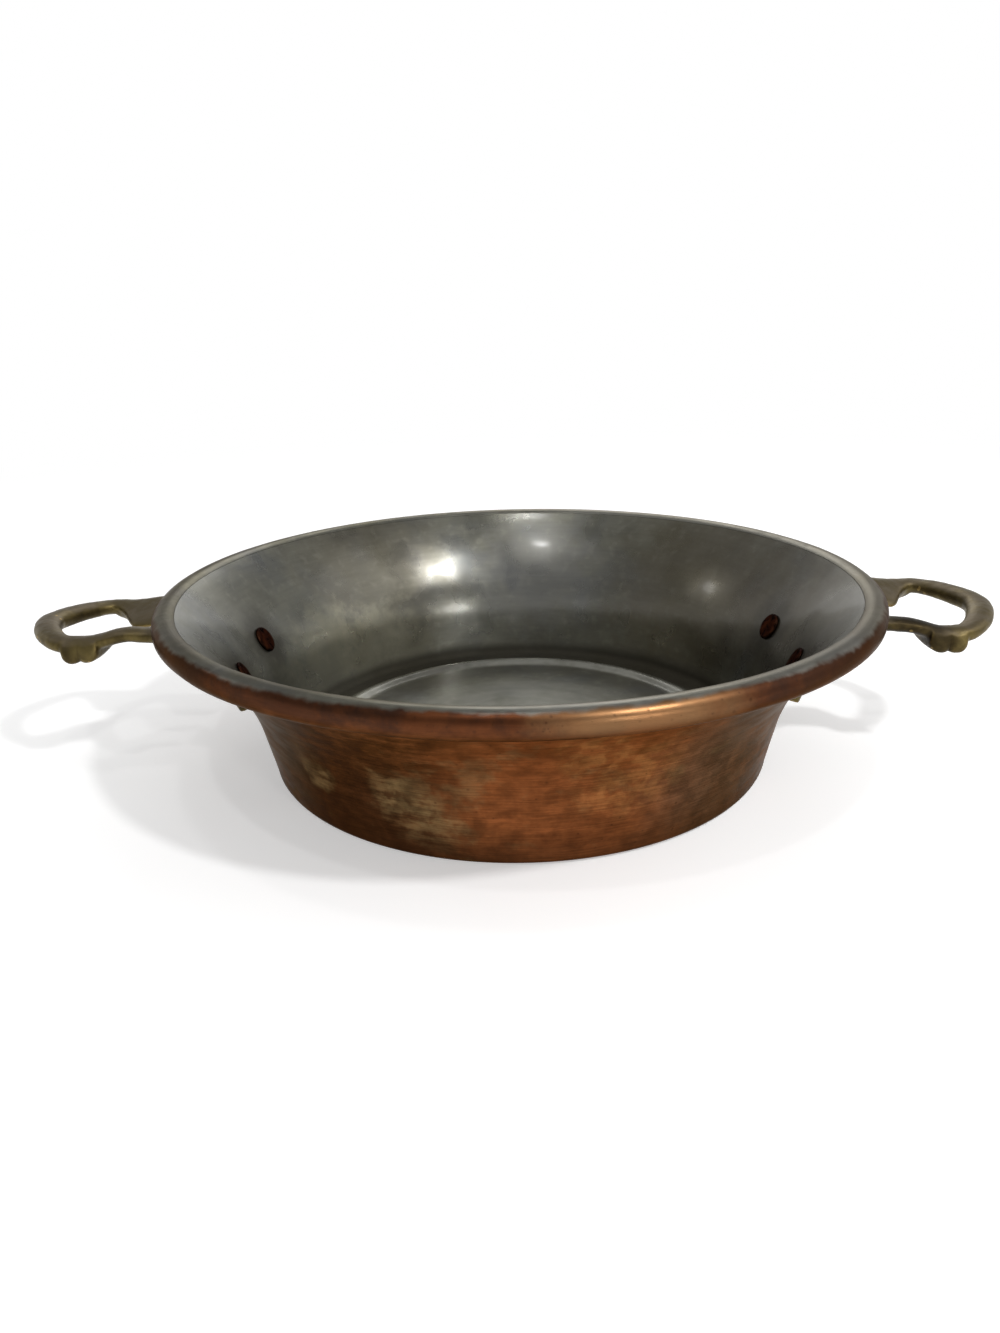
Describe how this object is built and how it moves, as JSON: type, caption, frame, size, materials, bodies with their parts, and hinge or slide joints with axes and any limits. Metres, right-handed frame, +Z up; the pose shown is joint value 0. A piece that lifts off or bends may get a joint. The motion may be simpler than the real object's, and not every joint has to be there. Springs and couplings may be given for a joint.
{
  "type": "two-handled copper egg pan",
  "caption": "Round copper pan with a tin lining, a wired rolled rim and a looped brass handle riveted on each side, for poaching or frying eggs over heat.",
  "frame": {"origin": "middle of the pan's flat underside", "axes": "+X through the two handles, +Y across the pan and away from the viewer of the picture, +Z up out of the pan"},
  "size_m": [0.2773, 0.2, 0.051],
  "materials": {
    "copper": "brushed, tarnished copper",
    "tin": "wiped tin, cloudy with use",
    "steel_wire": "drawn wire",
    "brass": "cast, dulled brass",
    "rivet_copper": "darkened copper"
  },
  "bodies": {
    "root": {"pan_body": "copper", "tin_lining": "tin", "rim_wire": "steel_wire", "handle_left": "brass", "handle_right": "brass", "rivet_left_front": "rivet_copper", "rivet_left_rear": "rivet_copper", "rivet_right_front": "rivet_copper", "rivet_right_rear": "rivet_copper"}
  },
  "joints": []
}
